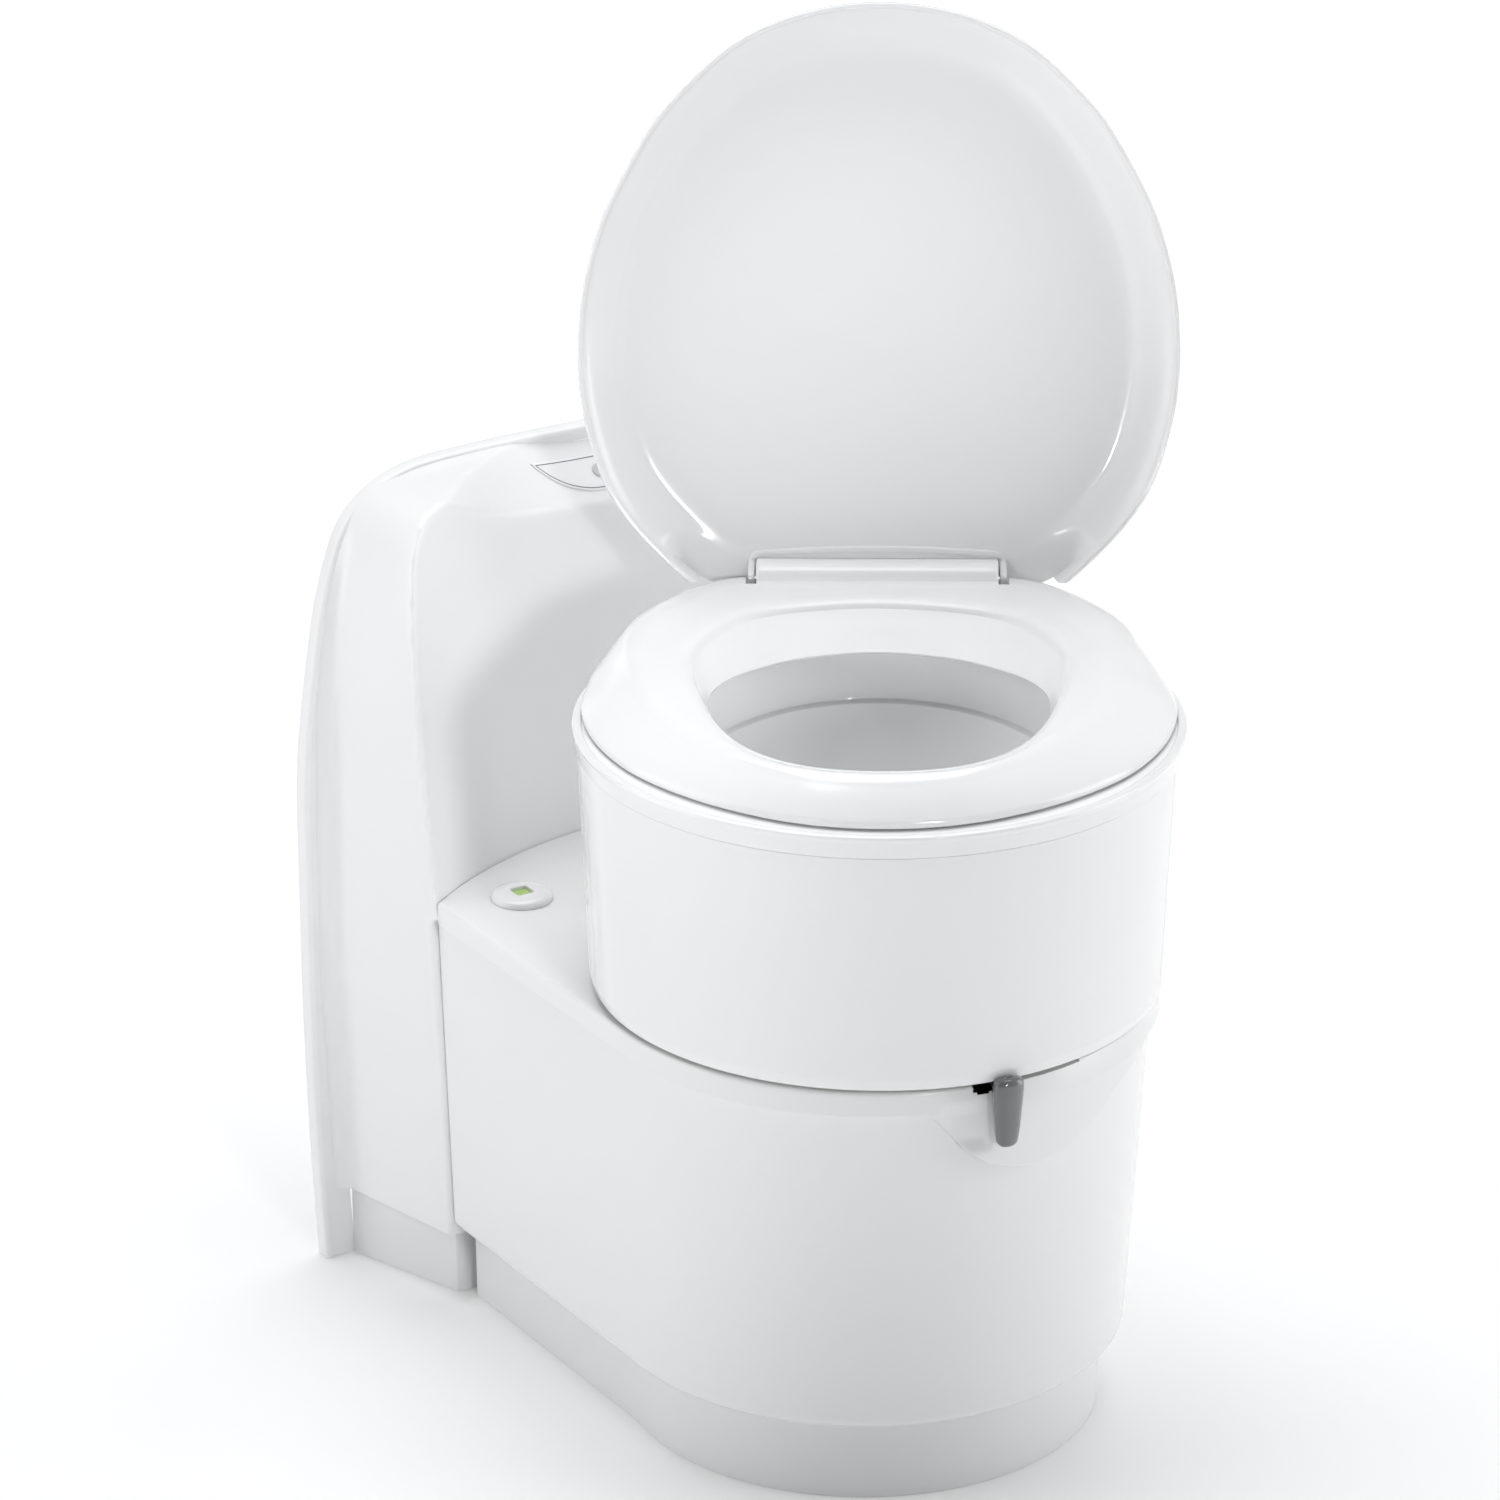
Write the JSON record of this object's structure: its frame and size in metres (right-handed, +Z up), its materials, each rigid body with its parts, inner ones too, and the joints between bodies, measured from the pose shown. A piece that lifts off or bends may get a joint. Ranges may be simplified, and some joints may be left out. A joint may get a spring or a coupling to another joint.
{
  "type": "cassette toilet",
  "caption": "Swivel-bowl cassette toilet for a caravan wall, with hinged seat and lid, valve lever, and a slide-out waste tank",
  "frame": {"origin": "on the floor, under the swivel axis of the bowl", "axes": "+Z up, +Y towards the wall that the backrest stands against, the front faces -Y, and +X is on the right of a viewer standing in front"},
  "size_m": [0.4801, 0.5493, 0.8506],
  "materials": {
    "stand_white": "smooth gloss moulding",
    "plinth_white": "satin moulding",
    "bowl_white": "smooth gloss moulding",
    "basin_white": "smooth gloss moulding",
    "seat_white": "smooth gloss moulding",
    "lid_white": "smooth gloss moulding",
    "panel_white": "satin membrane",
    "key_grey": "smooth",
    "lever_grey": "satin moulding",
    "window_tint": "clear tinted",
    "tank_grey": "fine grain moulding",
    "dark_plastic": "fine grain moulding",
    "accent_blue": "smooth",
    "seal_rubber": "matte",
    "steel": "brushed",
    "valve_brass": "satin",
    "hose_clear": "semi-clear tube",
    "board_green": "matte",
    "bearing_white": "self-lubricating plastic"
  },
  "bodies": {
    "stand": {"base_plate": "plinth_white", "plinth": "plinth_white", "rear_kick_box": "plinth_white", "lower_body": "stand_white", "guide_tray": "tank_grey", "shoulder_deck": "stand_white", "backrest": "stand_white", "wall_flange": "stand_white", "control_panel": "panel_white", "control_board": "board_green", "water_valve": "valve_brass", "flush_hose": "hose_clear", "hose_gland": "dark_plastic", "level_bezel": "bowl_white", "level_window": "window_tint", "sight_tube": "dark_plastic", "swivel_bearing": "bearing_white", "mechanism_plate": "steel"},
    "bowl": {"swivel_hub": "bearing_white", "hub_retainer": "steel", "hub_screws": "steel", "bowl_front_skirt": "bowl_white", "bowl_rear_skirt": "bowl_white", "bowl_collar": "bowl_white", "inner_bowl": "basin_white", "flush_nozzle": "basin_white", "hinge_posts": "bowl_white", "hinge_rod": "steel"},
    "seat_part": {"seat": "seat_white", "seat_bumpers": "seal_rubber"},
    "lid_part": {"lid": "lid_white"},
    "lever": {"lever_sector": "dark_plastic", "blade_lever": "lever_grey"},
    "flush_key": {"flush_button": "key_grey"},
    "cassette": {"waste_tank": "tank_grey", "tank_handle": "dark_plastic", "lip_seal": "seal_rubber", "blade_seal": "seal_rubber", "spindle_bush": "bearing_white", "gauge_lens": "window_tint", "wheel_pins": "steel", "float_bracket": "tank_grey"},
    "wheels": {"tank_wheels": "dark_plastic"},
    "gauge_float": {"level_float": "accent_blue"},
    "blade": {"valve_blade": "bearing_white", "blade_spindle": "dark_plastic"},
    "spout": {"pour_spout": "tank_grey"},
    "cap": {"spout_cap": "accent_blue"},
    "vent": {"vent_button": "accent_blue"}
  },
  "joints": [
    {"name": "bowl_swivel", "type": "hinge", "parent": "stand", "child": "bowl", "pos_m": [0, 0, 0.295], "axis": [0, 0, 1], "range_deg": [-57.6, 122.4]},
    {"name": "seat_hinge", "type": "hinge", "parent": "bowl", "child": "seat_part", "pos_m": [0.09377, 0.14776, 0.484], "axis": [-0.8443, 0.5358, 0], "range_deg": [0, 93]},
    {"name": "lid_hinge", "type": "hinge", "parent": "bowl", "child": "lid_part", "pos_m": [0.09377, 0.14776, 0.484], "axis": [-0.8443, 0.5358, 0], "range_deg": [-98, 0]},
    {"name": "blade_lever_turn", "type": "hinge", "parent": "stand", "child": "lever", "pos_m": [0, 0, 0.2485], "axis": [0, 0, 1], "range_deg": [0, 18]},
    {"name": "flush_press", "type": "slide", "parent": "stand", "child": "flush_key", "axis": [0, 0.7431, -0.6691], "range_m": [0, 0.002], "stiffness_N_per_m": 600},
    {"name": "cassette_slide", "type": "slide", "parent": "stand", "child": "cassette", "axis": [0, 1, 0], "range_m": [0, 0.45]},
    {"name": "blade_turn", "type": "hinge", "parent": "cassette", "child": "blade", "pos_m": [0, 0.096, 0.2243], "axis": [0, 0, 1], "range_deg": [-90, 0]},
    {"name": "wheel_roll", "type": "hinge", "parent": "cassette", "child": "wheels", "pos_m": [0, -0.07, 0.073], "axis": [1, 0, 0], "continuous": true},
    {"name": "float_swing", "type": "hinge", "parent": "cassette", "child": "gauge_float", "pos_m": [-0.1285, 0.218, 0.21], "axis": [1, 0, 0], "range_deg": [-40, 0]},
    {"name": "spout_swing", "type": "hinge", "parent": "cassette", "child": "spout", "pos_m": [-0.08, 0.33, 0.172], "axis": [0, 1, 0], "range_deg": [-90, 0]},
    {"name": "cap_unscrew", "type": "hinge", "parent": "spout", "child": "cap", "pos_m": [0.018, 0.3373, 0.172], "axis": [1, 0, 0], "range_deg": [0, 90]},
    {"name": "vent_press", "type": "slide", "parent": "cassette", "child": "vent", "axis": [0, -1, 0], "range_m": [0, 0.004], "stiffness_N_per_m": 300}
  ],
  "couplings": [
    {"joint": "blade_turn", "follows": "blade_lever_turn", "ratio": -5}
  ]
}
